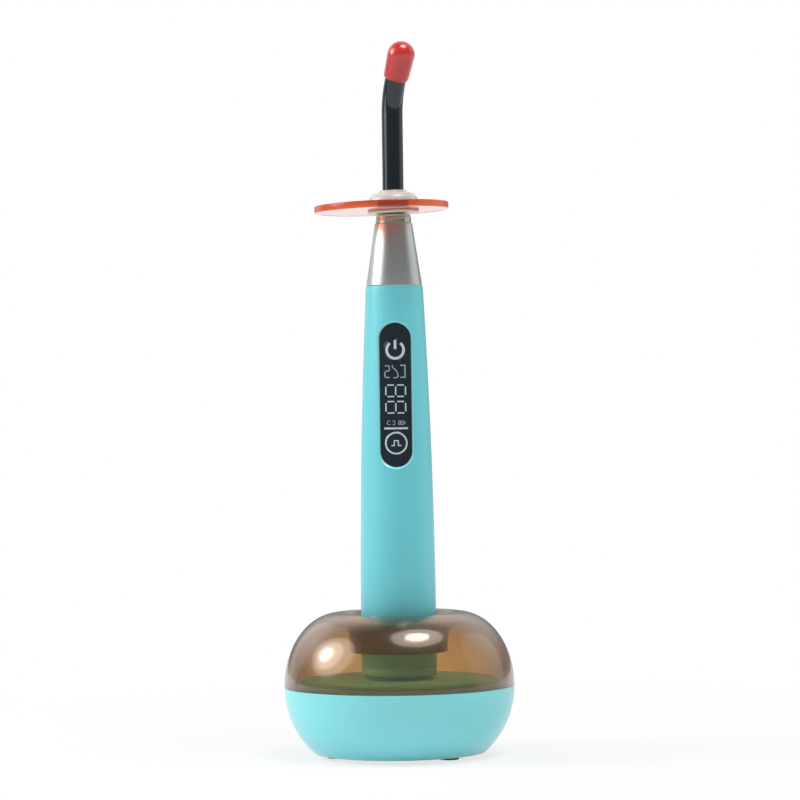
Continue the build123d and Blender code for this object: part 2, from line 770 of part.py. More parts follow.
with BuildPart() as led_module:
    with BuildSketch(Plane.XY.offset(sink_top_z)):
        Circle(led_radius)
    extrude(amount=led_board_thickness)
    with BuildSketch(Plane.XY.offset(sink_top_z + led_board_thickness)):
        Rectangle(led_chip_size, led_chip_size)
    extrude(amount=led_chip_height)
save(led_module.part, "led_module")

# The lens that gathers the light into the guide: narrow at the chip, wide at the guide
with BuildPart() as lens:
    with BuildSketch(Plane.XZ):
        with BuildLine():
            Polyline((lens_radius, lens_top_z - lens_rim), (lens_radius, lens_top_z),
                     (0, lens_top_z), (0, lens_top_z - lens_height),
                     (lens_foot_radius, lens_top_z - lens_height))
            TangentArc((lens_foot_radius, lens_top_z - lens_height), (lens_radius, lens_top_z - lens_rim),
                       tangent=(cos(radians(lens_flare_angle)), sin(radians(lens_flare_angle))))
        make_face()
    revolve(axis=Axis.Z)
save(lens.part, "lens")

# The polished ring that closes the nose
with BuildPart() as nose_ring:
    with BuildSketch(Plane.XZ):
        with BuildLine():
            Polyline((guide_bore + slip, cone_top_z - ring_spigot_length),
                     (guide_bore + ring_spigot_wall, cone_top_z - ring_spigot_length),
                     (guide_bore + ring_spigot_wall, cone_top_z + slip), (ring_radius, cone_top_z + slip),
                     (ring_top_radius, ring_top_z), (guide_bore + slip, ring_top_z), close=True)
        make_face()
    revolve(axis=Axis.Z)
    fillet(nose_ring.edges().filter_by(GeomType.CIRCLE).group_by(Axis.Z)[-1], loose)
save(nose_ring.part, "nose_ring")

# The metal ferrule on the guide's lower end, with a groove for the ring that grips the nose
ferrule_outside = guide_radius + slip + ferrule_wall
ferrule_z = bore_z + slip
guide_z = ferrule_z + ferrule_lip + slip
ferrule_length = ring_top_z - clear - ferrule_z
o_ring_z = ferrule_z + ferrule_length / 2
with BuildPart() as guide_ferrule:
    with BuildSketch(Plane.XY.offset(ferrule_z)):
        Circle(ferrule_outside)
        Circle(guide_radius - ferrule_lip, mode=Mode.SUBTRACT)
    extrude(amount=ferrule_length)
    with BuildSketch(Plane.XY.offset(ferrule_z + ferrule_lip)):
        Circle(guide_radius + slip)
    extrude(amount=ferrule_length - ferrule_lip, mode=Mode.SUBTRACT)
    with BuildSketch(Plane.XZ):
        with Locations((ferrule_outside, o_ring_z)):
            Rectangle(o_ring_section_radius * 2, o_ring_section_radius * 2)
    revolve(axis=Axis.Z, mode=Mode.SUBTRACT)
save(guide_ferrule.part, "guide_ferrule")

with BuildPart() as guide_seal:
    with BuildSketch(Plane.XZ):
        with Locations((ferrule_outside - o_ring_section_radius / 2 + slip / 2, o_ring_z)):
            Rectangle(o_ring_section_radius - slip, o_ring_height)
    revolve(axis=Axis.Z)
save(guide_seal.part, "guide_seal")

# The light guide: a straight rod that bends near its tip
bend_way = Vector(sin(radians(guide_turn_angle)), -cos(radians(guide_turn_angle)), 0)
bend_normal = bend_way.cross(Vector(0, 0, 1))
guide_plane = Plane(origin=(0, 0, guide_z), x_dir=bend_way, z_dir=bend_normal)
with BuildPart() as light_guide:
    with BuildLine(guide_plane) as guide_path:
        straight = Line((0, 0), (0, guide_straight))
        bend = JernArc(straight @ 1, (0, 1), guide_bend_radius, -guide_bend_angle)
        tip = Line(bend @ 1, (bend @ 1) + guide_tip_length * (bend % 1))
    with BuildSketch(Plane.XY.offset(guide_z)):
        Circle(guide_radius)
    sweep(path=guide_path.wires()[0])
save(light_guide.part, "light_guide")
tip_point = guide_path.wires()[0] @ 1
tip_way = guide_path.wires()[0] % 1

# The cap on the tip: a thimble with a rounded end and a thicker rim
tip_side = Plane(origin=tip_point, x_dir=bend_normal, z_dir=bend_normal.cross(tip_way))
cap_outside = guide_radius + slip + cap_wall
with BuildPart() as tip_cap:
    with BuildSketch(tip_side):
        with BuildLine():
            Polyline((guide_radius + slip, -cap_grip), (guide_radius + slip, slip), (0, slip),
                     (0, cap_outside + cap_flare + cap_dome_wall))
            dome_end = (cap_outside + cap_flare, cap_dome_wall)
            ThreePointArc((0, cap_outside + cap_flare + cap_dome_wall),
                          ((cap_outside + cap_flare) * sin(radians(45)),
                           cap_dome_wall + (cap_outside + cap_flare) * cos(radians(45))), dome_end)
            Polyline(dome_end, (cap_outside, cap_rim_height - cap_grip),
                     (cap_outside - cap_rim_taper, -cap_grip), (guide_radius + slip, -cap_grip))
        make_face()
    revolve(axis=Axis(tip_point, tip_way))
save(tip_cap.part, "tip_cap")

# The shield sits a little askew in its hub, as it is pictured, low on the left
tilt = radians(shield_tilt_angle)
shield_mid = Plane(origin=(0, 0, shield_mid_z), x_dir=(cos(tilt), 0, sin(tilt)),
                   z_dir=(-sin(tilt), 0, cos(tilt)))
with BuildPart() as light_shield:
    with BuildSketch(shield_mid.offset(-shield_thickness / 2)):
        with Locations((-shield_offset, 0)):
            Circle(shield_radius)
        Circle(hub_radius + slip, mode=Mode.SUBTRACT)
    extrude(amount=shield_thickness)
    fillet(light_shield.edges().filter_by(GeomType.CIRCLE).filter_by(
        lambda edge: edge.radius > hub_radius + clear), shield_rounding)
save(light_shield.part, "light_shield")

shield_low = -shield_thickness / 2 - slip
shield_high = shield_thickness / 2 + slip
with BuildPart() as shield_hub:
    with BuildSketch(shield_mid.offset(shield_low - hub_flange_thickness)):
        Circle(hub_flange_radius)
    extrude(amount=hub_flange_thickness)
    fillet(shield_hub.edges(), hub_flange_rounding)
    with BuildSketch(shield_mid.offset(shield_low)):
        Circle(hub_radius)
    extrude(amount=shield_high - shield_low)
    with BuildSketch(shield_mid.offset(shield_high)):
        Circle(hub_dome_radius)
    extrude(amount=hub_dome_height)
    fillet(shield_hub.edges().group_by(Axis.Z)[-1], hub_dome_rounding)
    with BuildSketch(shield_mid.offset(shield_high + hub_dome_height)):
        Circle(hub_neck_radius)
    extrude(amount=hub_neck_height)
    fillet(shield_hub.edges().group_by(Axis.Z)[-1], hub_neck_rounding)
    with BuildSketch(Plane.XY.offset(ring_top_z)):
        Circle(guide_radius + slip)
    extrude(amount=guide_straight, mode=Mode.SUBTRACT)
save(shield_hub.part, "shield_hub")
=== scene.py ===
import bpy
import bmesh
from math import acos, atan2, cos, hypot, pi, radians, sin, sqrt
from mathutils import Matrix, Vector


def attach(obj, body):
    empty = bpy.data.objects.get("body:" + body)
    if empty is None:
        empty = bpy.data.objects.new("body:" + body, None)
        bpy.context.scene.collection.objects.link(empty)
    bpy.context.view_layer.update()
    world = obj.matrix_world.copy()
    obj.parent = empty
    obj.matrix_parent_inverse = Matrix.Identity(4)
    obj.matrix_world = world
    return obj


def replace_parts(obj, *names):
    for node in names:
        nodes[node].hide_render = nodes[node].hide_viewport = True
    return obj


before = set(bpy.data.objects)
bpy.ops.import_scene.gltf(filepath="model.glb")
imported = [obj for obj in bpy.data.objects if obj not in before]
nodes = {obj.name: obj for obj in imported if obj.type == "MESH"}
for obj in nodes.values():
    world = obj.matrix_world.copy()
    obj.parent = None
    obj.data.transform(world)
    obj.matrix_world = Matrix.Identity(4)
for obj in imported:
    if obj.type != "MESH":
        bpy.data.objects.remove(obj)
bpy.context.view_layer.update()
mm = 0.001
print("frame loaded:", len(nodes), "nodes")


class Wire:
    # one output of a node; sums on it add Math nodes
    def __init__(self, finish, socket):
        self.finish = finish
        self.socket = socket

    def sum(self, operation, first, second):
        return self.finish.add("Math", {"operation": operation}, {0: first, 1: second})

    def __add__(self, other):
        return self.sum("ADD", self, other)

    __radd__ = __add__

    def __sub__(self, other):
        return self.sum("SUBTRACT", self, other)

    def __mul__(self, other):
        return self.sum("MULTIPLY", self, other)

    def __pow__(self, other):
        return self.sum("POWER", self, other)


class Finish:
    # a material, or the world, and its node tree
    def __init__(self, name, home=bpy.data.materials, kind="Material"):
        self.material = home.new(name)
        self.material.use_nodes = True
        self.tree = self.material.node_tree
        self.tree.nodes.clear()
        self.output = self.tree.nodes.new("ShaderNodeOutput" + kind)

    def add(self, kind, settings=None, inputs=None, out=0):
        node = self.tree.nodes.new("ShaderNode" + kind)
        for key, value in (settings or {}).items():
            setattr(node, key, value)
        for key, value in (inputs or {}).items():
            if isinstance(value, Wire):
                self.tree.links.new(value.socket, node.inputs[key])
            else:
                node.inputs[key].default_value = value
        return Wire(self, node.outputs[out])

    def place(self, scale=(1, 1, 1)):
        return self.add("Mapping", {}, {0: self.add("TexCoord", out="Object"), 3: scale})

    def distance(self, scale=(1, 1, 1)):
        # how far a place is from the origin, or from the Z axis where the scale leaves Z out
        return self.add("VectorMath", {"operation": "LENGTH"}, {0: self.place(scale)}, out="Value")

    def noise(self, size, detail, scale=(1, 1, 1)):
        # cloudy pattern whose features are about the given size in millimetres
        return self.add("TexNoise", {}, {"Vector": self.place(scale), "Scale": 1 / (size * mm),
                                         "Detail": detail})

    def uneven(self, low, spread, size, detail):
        # a value that wanders up from its lowest by the spread at most
        return self.noise(size, detail) * spread + low

    def ramp(self, value, start, end, low=0.0, high=1.0):
        # goes smoothly from low to high while the value goes from start to end
        return self.add("MapRange", {"interpolation_type": "SMOOTHSTEP"},
                        {0: value, 1: start, 2: end, 3: low, 4: high})

    def larger(self, first, second):
        return self.add("Math", {"operation": "MAXIMUM"}, {0: first, 1: second})

    def ray(self, kind):
        return self.add("LightPath", out=kind)

    def between(self, factor, first, second):
        return self.add("Mix", {"data_type": "RGBA"}, {0: factor, 6: first, 7: second}, out=2)

    def toned(self, pattern, colour, low, high):
        # a colour that a pattern takes from one shade of itself to another
        return self.between(pattern, shade(colour, low), shade(colour, high))

    def bump(self, height, strength, depth):
        return self.add("Bump", {}, {"Height": height, "Strength": strength, "Distance": depth * mm})

    def shine(self, **sockets):
        named = {key.replace("_", " "): value for key, value in sockets.items()}
        return self.add("BsdfPrincipled", {}, named)

    def grazing(self, power):
        # 0 where a surface is seen straight on, 1 at its outline
        return self.add("LayerWeight", {}, {"Blend": 0.5}, out="Facing") ** power

    def edgeShine(self, straight=0.04):
        # how much a polished surface mirrors, the same from both of its sides
        return self.grazing(5.0) * (1 - straight) + straight

    def mixed(self, factor, first, second):
        return self.add("MixShader", {}, {0: factor, 1: first, 2: second})

    def done(self, shader):
        self.tree.links.new(shader.socket, self.output.inputs[0])
        return self.material


def paint(red, green, blue):
    # a colour given in screen values, 0 to 255
    def plain(value):
        value = value / 255
        return value / 12.92 if value <= 0.04045 else ((value + 0.055) / 1.055) ** 2.4
    return (plain(red), plain(green), plain(blue), 1.0)


def shade(colour, factor):
    return (colour[0] * factor, colour[1] * factor, colour[2] * factor, 1.0)


def mouldedPlastic(name, colour, roughness, grain=0.35, grainDepth=0.006, coat=0.0):
    # moulded plastic: cloudy colour, a fine eggshell grain, and gloss that wanders a little
    f = Finish(name)
    clouds, flecks = f.noise(28, 3), f.noise(1.3, 2)
    return f.done(f.shine(Base_Color=f.toned(clouds * 0.6 + flecks * 0.4, colour, 0.95, 1.05),
                          Roughness=f.uneven(roughness - 0.05, 0.1, 6, 4), Coat_Weight=coat,
                          Coat_Roughness=0.12, Normal=f.bump(f.noise(grain, 2), 0.35, grainDepth)))


smoked = {
    "tint": (0.79, 0.59, 0.25, 1), "density": 590.0, "refraction": 1.49, "coat": 0.8, "coatRoughness": 0.22,
    # painted shade: the opaque dark brown that the wall turns into toward its outline, and how much and how
    # fast
    "outline": paint(92, 82, 70), "outlineShadeShare": 0.85, "outlineShadePower": 2.0,
    # painted shade with a painted grey sheen: the dark grey that the neck is painted, how much of it, and
    # from which radius to which
    "neck": paint(70, 66, 60), "neckShadeShare": 0.6, "neckFrom": 18.6, "neckTo": 21.5,
    "shadow": (0.92, 0.92, 0.92, 1),
}


def smokedPlastic(name):
    # clear smoked plastic: the longer light runs inside its wall, the browner and darker it gets; painted
    # shade: toward the outline the wall turns to an opaque dark brown, and the neck is painted dark grey,
    # from one radius to another
    f = Finish(name)
    wall = f.shine(Base_Color=f.between(f.noise(9, 3), (0.93, 0.92, 0.9, 1), (1, 1, 1, 1)),
                   Roughness=f.uneven(0.03, 0.03, 25, 2), IOR=smoked["refraction"], Transmission_Weight=1.0,
                   Coat_Weight=smoked["coat"], Coat_Roughness=smoked["coatRoughness"])
    # painted shade: an opaque dark brown that stands in for the darkening along the cover's outline
    outline = f.shine(Base_Color=f.toned(f.noise(9, 3), smoked["outline"], 0.9, 1.0), Roughness=0.3,
                      Coat_Weight=smoked["coat"], Coat_Roughness=smoked["coatRoughness"])
    wall = f.mixed(f.grazing(smoked["outlineShadePower"]) * smoked["outlineShadeShare"], wall, outline)
    # painted shade with a painted grey sheen: dark grey painted into the neck, though its plastic is the same
    # clear smoke
    paintedNeckShade = f.shine(Base_Color=f.toned(f.noise(5, 3), smoked["neck"], 0.85, 1.0), Roughness=0.3)
    inNeck = f.ramp(f.distance((1, 1, 0)), smoked["neckFrom"] * mm, smoked["neckTo"] * mm,
                    smoked["neckShadeShare"], 0.0)
    absorbed = f.add("VolumeAbsorption", {}, {0: smoked["tint"], 1: smoked["density"]})
    f.tree.links.new(absorbed.socket, f.output.inputs["Volume"])
    letThrough = f.add("BsdfTransparent", {}, {0: smoked["shadow"]})
    return f.done(f.mixed(f.ray("Is Shadow Ray"), f.mixed(inNeck, wall, paintedNeckShade), letThrough))


def blackGlass(name, colour, coat):
    # black polished surface with a trace of dust and a very slight wave
    f = Finish(name)
    return f.done(f.shine(Base_Color=f.toned(f.noise(12, 2), colour, 0.85, 1.15),
                          Roughness=f.uneven(0.06, 0.06, 0.6, 3), Coat_Weight=coat, Coat_Roughness=0.03,
                          Normal=f.bump(f.noise(15, 1), 0.08, 0.05)))


def turnedMetal(name, colour, roughness, lines=0.16, depth=0.004, mottle=0.0):
    # metal from the lathe: fine rings round the axis, a few broader ones, and cloudy specks
    f = Finish(name)
    rings = f.noise(lines, 3, (0.02, 0.02, 1))
    bands = f.noise(2.2, 2, (0.05, 0.05, 1))
    specks = f.noise(0.7, 3) * mottle
    pattern = bands * 0.5 + rings * 0.5 + specks - mottle / 2
    return f.done(f.shine(Base_Color=f.toned(pattern, colour, 0.84, 1.06), Metallic=1.0,
                          Roughness=roughness - 0.05 + rings * 0.1,
                          Normal=f.bump(rings + specks * 6.0, 0.5, depth)))


def rubber(name, colour, roughness=0.75):
    f = Finish(name)
    return f.done(f.shine(Base_Color=f.toned(f.noise(3, 3), colour, 0.85, 1.15),
                          Roughness=f.uneven(roughness - 0.06, 0.12, 1, 3),
                          Normal=f.bump(f.noise(0.3, 2), 0.4, 0.02)))


def silicone(name, colour):
    # soft silicone: light goes a little way into it
    f = Finish(name)
    return f.done(f.shine(Base_Color=f.toned(f.noise(5, 3), colour, 0.93, 1.05),
                          Roughness=f.uneven(0.3, 0.12, 2, 3), Coat_Weight=0.5, Coat_Roughness=0.15,
                          Subsurface_Weight=0.25, Subsurface_Radius=(1.0, 0.6, 0.4),
                          Subsurface_Scale=2 * mm, Normal=f.bump(f.noise(0.5, 2), 0.25, 0.01)))


def clearAcrylic(name, tint, body, bodyShare):
    # see-through coloured acrylic; a faint painted glow in the colour of the sheet stands in for the light
    # that its cut edge gathers
    f = Finish(name)
    streaks = f.noise(7, 3)
    # painted glow: a faint emission in the sheet's colour, though the sheet is no lamp
    solid = f.shine(Base_Color=f.toned(streaks, body, 0.92, 1.06), Roughness=0.25, Emission_Color=body,
                    Emission_Strength=0.06)
    through = f.mixed(bodyShare * 0.85 + streaks * bodyShare * 0.3,
                      f.add("BsdfTransparent", {}, {0: tint}), solid)
    gloss = f.shine(Base_Color=(0.95, 0.95, 0.95, 1), Metallic=1.0, Roughness=f.uneven(0.02, 0.03, 25, 2))
    return f.done(f.mixed(f.edgeShine(), through, gloss))


def glowing(name, colour, strength):
    f = Finish(name)
    base = f.toned(f.noise(0.8, 2), colour, 0.88, 1.08)
    return f.done(f.shine(Base_Color=base, Roughness=0.4, Emission_Color=base, Emission_Strength=strength))


def circuitBoard(name):
    # green board with lighter lines between its fields
    f = Finish(name)
    tracks = f.add("TexBrick", {}, {"Vector": f.place(), "Scale": 420.0, "Mortar Size": 0.06,
                                    "Color1": paint(22, 88, 58), "Color2": paint(18, 74, 50),
                                    "Mortar": paint(60, 130, 84)})
    return f.done(f.shine(Base_Color=tracks, Roughness=f.uneven(0.35, 0.1, 2, 2)))


sleeveTeal = mouldedPlastic("sleeveTeal", paint(108, 208, 218), 0.42, coat=0.25)
# painted highlight: the frame is a paler teal than the sleeve, for the light that its bevel catches
frameHighlightTeal = mouldedPlastic("frameHighlightTeal", paint(144, 226, 234), 0.3, coat=0.3)
dockTeal = mouldedPlastic("dockTeal", paint(132, 224, 230), 0.3, coat=0.25, grainDepth=0.003)
deckTeal = mouldedPlastic("deckTeal", paint(114, 206, 226), 0.5, grain=0.6, grainDepth=0.012)
smoke = smokedPlastic("smoke")
screenBlack = blackGlass("screenBlack", paint(14, 34, 44), 0.6)
keyBlack = blackGlass("keyBlack", paint(16, 36, 46), 0.6)
coneMetal = turnedMetal("coneMetal", (0.64, 0.69, 0.68, 1), 0.33, mottle=1.0)
ringMetal = turnedMetal("ringMetal", (0.52, 0.56, 0.48, 1), 0.12, lines=0.4, depth=0.001)
platedMetal = turnedMetal("platedMetal", (0.62, 0.62, 0.6, 1), 0.3)
goldMetal = turnedMetal("goldMetal", (0.86, 0.62, 0.28, 1), 0.25)
castMetal = turnedMetal("castMetal", (0.16, 0.16, 0.17, 1), 0.6, lines=0.8, depth=0.05)
footRubber = rubber("footRubber", paint(44, 74, 78))
sealRubber = rubber("sealRubber", paint(30, 30, 32))
hubSilicone = silicone("hubSilicone", paint(204, 198, 190))
shieldOrange = clearAcrylic("shieldOrange", (0.95, 0.42, 0.22, 1), paint(204, 80, 58), 0.35)
rodGlass = blackGlass("rodGlass", paint(20, 32, 40), 0.25)
capRed = clearAcrylic("capRed", (0.86, 0.12, 0.11, 1), paint(214, 58, 54), 0.6)
iconGlow = glowing("iconGlow", paint(178, 190, 192), 0.2)
iconDim = glowing("iconDim", paint(138, 152, 158), 0.12)
boardGreen = circuitBoard("boardGreen")
darkPlastic = mouldedPlastic("darkPlastic", paint(34, 38, 42), 0.5)
cellSleeve = mouldedPlastic("cellSleeve", paint(58, 92, 152), 0.3)
lightChip = mouldedPlastic("lightChip", paint(228, 206, 120), 0.5)
clearLens = clearAcrylic("clearLens", (0.95, 0.97, 0.98, 1), paint(225, 232, 235), 0.05)
print("finishes made")


def linked(name, data):
    thing = bpy.data.objects.new(name, data)
    bpy.context.scene.collection.objects.link(thing)
    return thing


def meshObject(name, mesh, material, body, sharp=28):
    # a piece in its finish on its body; edges above the sharp angle stay hard
    mesh.name = name
    mesh.materials.clear()
    mesh.materials.append(material)
    mesh.shade_smooth()
    mesh.set_sharp_from_angle(angle=radians(sharp))
    thing = linked(name, mesh)
    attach(thing, body)
    return thing


def meshFrom(bm, name, outwards=True):
    # the mesh that has been built up, its faces turned outwards
    if outwards:
        bmesh.ops.recalc_face_normals(bm, faces=bm.faces)
    mesh = bpy.data.meshes.new(name)
    bm.to_mesh(mesh)
    bm.free()
    return mesh


def baked(thing):
    # the evaluated object as a plain mesh, its modifiers dropped
    bpy.context.view_layer.update()
    graph = bpy.context.evaluated_depsgraph_get()
    mesh = bpy.data.meshes.new_from_object(thing.evaluated_get(graph))
    thing.modifiers.clear()
    return mesh


def roundedOutline(corners, steps=6):
    # outline through (radius, height, rounding) corners, each rounded by an arc
    points = []
    for index, (r, z, rounding) in enumerate(corners):
        here = Vector((r, z))
        if rounding <= 0:
            points.append(here)
            continue
        before = (Vector(corners[index - 1][:2]) - here).normalized()
        after = (Vector(corners[(index + 1) % len(corners)][:2]) - here).normalized()
        half = acos(max(-1, min(1, before.dot(after)))) / 2
        reach = rounding / (sin(half) / cos(half))
        middle = here + (before + after).normalized() * rounding / sin(half)
        start, end = here + before * reach - middle, here + after * reach - middle
        turn = atan2(start.x * end.y - start.y * end.x, start.dot(end))
        for step in range(steps + 1):
            swing = turn * step / steps
            points.append(middle + Vector((start.x * cos(swing) - start.y * sin(swing),
                                           start.x * sin(swing) + start.y * cos(swing))))
    return points


def arcPoints(centre, reachX, reachZ, start, end, steps):
    # part of an ellipse, between two angles in degrees
    angles = [radians(start + (end - start) * k / steps) for k in range(steps + 1)]
    return [(centre[0] + reachX * cos(angle), centre[1] + reachZ * sin(angle)) for angle in angles]


def latheMesh(outline, segments, place=None):
    # turns a closed (radius, height) outline in millimetres round the Z axis; a third value shifts its
    # ring along X
    bm = bmesh.new()
    rings = []
    for r, z, *shift in outline:
        x = shift[0] if shift else 0
        if r < 1e-6:
            rings.append([bm.verts.new((x * mm, 0, z * mm))] * segments)
        else:
            rings.append([bm.verts.new(((r * cos(2 * pi * k / segments) + x) * mm,
                                        r * sin(2 * pi * k / segments) * mm, z * mm))
                          for k in range(segments)])
    for i, ring in enumerate(rings):
        other = rings[(i + 1) % len(rings)]
        for k in range(segments):
            corners = []
            for vert in (ring[k], ring[(k + 1) % segments], other[(k + 1) % segments], other[k]):
                if vert not in corners:
                    corners.append(vert)
            if len(corners) > 2:
                bm.faces.new(corners)
    mesh = meshFrom(bm, "turned")
    if place:
        mesh.transform(place)
    return mesh


def slotPrism(width, height, middleZ, depthLow, depthHigh, steps=24):
    # closed stadium-shaped block through Y, used to cut openings
    bm = bmesh.new()
    upright = height > width
    straight = (max(width, height) - min(width, height)) / 2
    radius = min(width, height) / 2
    flat = []
    for k in range(2 * steps):
        angle = pi * k / steps - (0 if upright else pi / 2)
        side = 1 if k < steps else -1
        x, z = radius * cos(angle), radius * sin(angle)
        if upright:
            z += straight * side
        else:
            x += straight * side
        flat.append((x, z + middleZ))
    loops = [[bm.verts.new((x * mm, y * mm, z * mm)) for x, z in flat] for y in (depthLow, depthHigh)]
    bm.faces.new(loops[0])
    bm.faces.new(list(reversed(loops[1])))
    count = len(flat)
    for k in range(count):
        bm.faces.new((loops[0][k], loops[1][k], loops[1][(k + 1) % count], loops[0][(k + 1) % count]))
    return meshFrom(bm, "slotPrism")


def carved(mesh, cutters):
    # the mesh with each cutter taken away from it
    block = linked("block", mesh)
    tools = []
    for cutter in cutters:
        tool = linked("tool", cutter)
        cut = block.modifiers.new("cut", "BOOLEAN")
        cut.operation = "DIFFERENCE"
        cut.solver = "EXACT"
        cut.object = tool
        tools.append(tool)
    result = baked(block)
    for thing in [block] + tools:
        bpy.data.objects.remove(thing)
    return result


def mergedCopy(node, name, material, body, sharp=25):
    # the CAD node's own shape, its loose triangles joined so that it shades smoothly
    bm = bmesh.new()
    bm.from_mesh(nodes[node].data)
    bmesh.ops.remove_doubles(bm, verts=bm.verts, dist=0.002 * mm)
    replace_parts(meshObject(name, meshFrom(bm, name, outwards=False), material, body, sharp), node)


# sizes are in millimetres and heights from the table, except a geometry tree's inputs, which are in metres
dock = {
    "rimRadius": 43.7, "bottomRadius": 32.5, "seamHeight": 26.4, "bottomHeight": 1.3, "wall": 2.4,
    "bottomRounding": 1.4, "seamRounding": 0.35, "plateRadius": 30.65, "plateStepRadius": 27.95,
    "plateHeight": 2.5, "floorHeight": 4.5, "ledgeRadius": 38.1, "ledgeLow": 22.5, "ledgeHigh": 24.5,
    "inletHeight": 18.75, "inletDepth": 42.82, "inletMouth": (9.3, 3.6), "inletRecess": (13.0, 7.3),
    "recessDepth": 1.0, "cutFrom": 30, "cutTo": 50, "outerSteps": 26, "innerSteps": 20, "aboveLedge": 5,
    "segments": 192,
}


def bowlArc(inset, low, steps):
    # radius and height along the bowl's side, from the seam down to a height
    drop = dock["seamHeight"] - dock["bottomHeight"]
    spread = dock["rimRadius"] - dock["bottomRadius"]
    bend = (spread ** 2 + drop ** 2) / (2 * spread)
    middle = dock["rimRadius"] - bend
    points = []
    for step in range(steps + 1):
        z = dock["seamHeight"] + (low - dock["seamHeight"]) * step / steps
        points.append((middle + sqrt((bend - inset) ** 2 - (dock["seamHeight"] - z) ** 2), z))
    return points


def bowlOutline():
    # down the outside, across the open bottom, and up the inside to the ledge of the cover
    outside = bowlArc(0, dock["bottomHeight"], dock["outerSteps"])
    underLedge = bowlArc(dock["wall"], dock["ledgeLow"], 2)[-1:]
    inside = underLedge + bowlArc(dock["wall"], dock["floorHeight"], dock["innerSteps"])[dock["aboveLedge"]:]
    ledgeOutside = dock["rimRadius"] - dock["wall"]
    corners = [(outside[0][0], outside[0][1], dock["seamRounding"])]
    corners += [(r, z, 0) for r, z in outside[1:-1]]
    corners += [
        (dock["bottomRadius"], dock["bottomHeight"], dock["bottomRounding"] / 3),
        (dock["plateRadius"], dock["bottomHeight"], 0), (dock["plateRadius"], dock["plateHeight"], 0),
        (dock["plateStepRadius"], dock["plateHeight"], 0), (dock["plateStepRadius"], dock["floorHeight"], 0),
    ]
    corners += [(r, z, 0) for r, z in reversed(inside)]
    corners += [
        (dock["ledgeRadius"], dock["ledgeLow"], 0), (dock["ledgeRadius"], dock["ledgeHigh"], 0),
        (ledgeOutside, dock["ledgeHigh"], 0), (ledgeOutside, dock["seamHeight"], 0),
    ]
    return roundedOutline(corners)


# the charging inlet's mouth goes through the wall, and a shallow recess lies round it
bowlMesh = carved(latheMesh(bowlOutline(), dock["segments"]), [
    slotPrism(*dock["inletMouth"], dock["inletHeight"], dock["cutFrom"], dock["cutTo"]),
    slotPrism(*dock["inletRecess"], dock["inletHeight"], dock["inletDepth"] - dock["recessDepth"],
              dock["cutTo"]),
])
bowl = meshObject("dockBowl", bowlMesh, dockTeal, "dock")
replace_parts(bowl, "dock_bowl")

cover = {
    "rimRadius": 43.7, "crestRadius": 23.0, "crestHeight": 54.3, "wellRadius": 15.75, "neckRadius": 18.55,
    "neckTop": 43.0, "neckBottom": 39.3, "neckStraight": 2, "neckRounding": 0.7, "wall": 2.6,
    "innerEnd": 2.3, "spigotOut": 41.15, "spigotIn": 39.95, "spigotBottom": 24.6, "spigotTop": 27.4,
    "steps": 36, "lipSteps": 24, "segments": 192,
}


def coverOutline():
    # quarter ellipses up to the crest and down into the neck, outside and then inside, and the spigot
    seam, crest, wall = dock["seamHeight"], cover["crestRadius"], cover["wall"]
    top, neckTop, neckBottom = cover["crestHeight"], cover["neckTop"], cover["neckBottom"]
    neckLow, rounding = neckBottom + cover["neckStraight"], cover["neckRounding"]
    outline = arcPoints((crest, seam), cover["rimRadius"] - crest, top - seam, 0, 90, cover["steps"])
    outline += arcPoints((crest, neckTop), crest - cover["wellRadius"], top - neckTop, 90, 180,
                         cover["steps"])[1:]
    outline += roundedOutline([
        (cover["wellRadius"], neckLow, 0), (cover["wellRadius"], neckBottom, rounding),
        (cover["neckRadius"], neckBottom, rounding), (cover["neckRadius"], neckLow, 0)])
    outline += arcPoints((crest, neckTop), crest - cover["neckRadius"], top - wall - neckTop, 180, 90,
                         cover["lipSteps"])
    outline += arcPoints((crest, seam), cover["rimRadius"] - wall - crest, top - wall - seam, 90,
                         cover["innerEnd"], cover["steps"])[1:]
    return outline + [(cover["spigotIn"], cover["spigotTop"]), (cover["spigotIn"], cover["spigotBottom"]),
                      (cover["spigotOut"], cover["spigotBottom"]), (cover["spigotOut"], seam)]


coverMesh = latheMesh(coverOutline(), cover["segments"])
smokeCover = meshObject("smokeCover", coverMesh, smoke, "dock", sharp=40)
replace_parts(smokeCover, "dock_cover")
mergedCopy("dock_deck", "dockDeck", deckTeal, "dock")
mergedCopy("bottom_plate", "bottomPlate", dockTeal, "dock")

feet = {"Ring Radius": 25.0 * mm, "Count": 3, "First Angle": radians(-43)}
footOutline = [(0, 0), (3.375, 0), (3.62, 0.12), (3.7, 0.36), (3.7, 2.3), (0, 2.3)]  # radius and height


def growTree(name, sizes):
    # a geometry tree with its two ends and its named inputs, and ways to add nodes and to end it
    tree = bpy.data.node_groups.new(name, "GeometryNodeTree")
    tree.interface.new_socket(name="Geometry", in_out="INPUT", socket_type="NodeSocketGeometry")
    tree.interface.new_socket(name="Geometry", in_out="OUTPUT", socket_type="NodeSocketGeometry")
    keys = {}
    for label, value in sizes.items():
        kind = "NodeSocketInt" if isinstance(value, int) else "NodeSocketFloat"
        socket = tree.interface.new_socket(name=label, in_out="INPUT", socket_type=kind)
        socket.default_value = value
        keys[label] = socket.identifier
    source = tree.nodes.new("NodeGroupInput")
    target = tree.nodes.new("NodeGroupOutput")

    def grow(kind, inputs):
        node = tree.nodes.new(kind)
        for key, value in inputs.items():
            if isinstance(value, bpy.types.NodeSocket):
                tree.links.new(value, node.inputs[key])
            else:
                node.inputs[key].default_value = value
        return node.outputs[0]

    def close(geometry, material):
        real = grow("GeometryNodeRealizeInstances", {0: geometry})
        painted = grow("GeometryNodeSetMaterial", {0: real, "Material": material})
        tree.links.new(painted, target.inputs[0])

    return tree, keys, source, grow, close


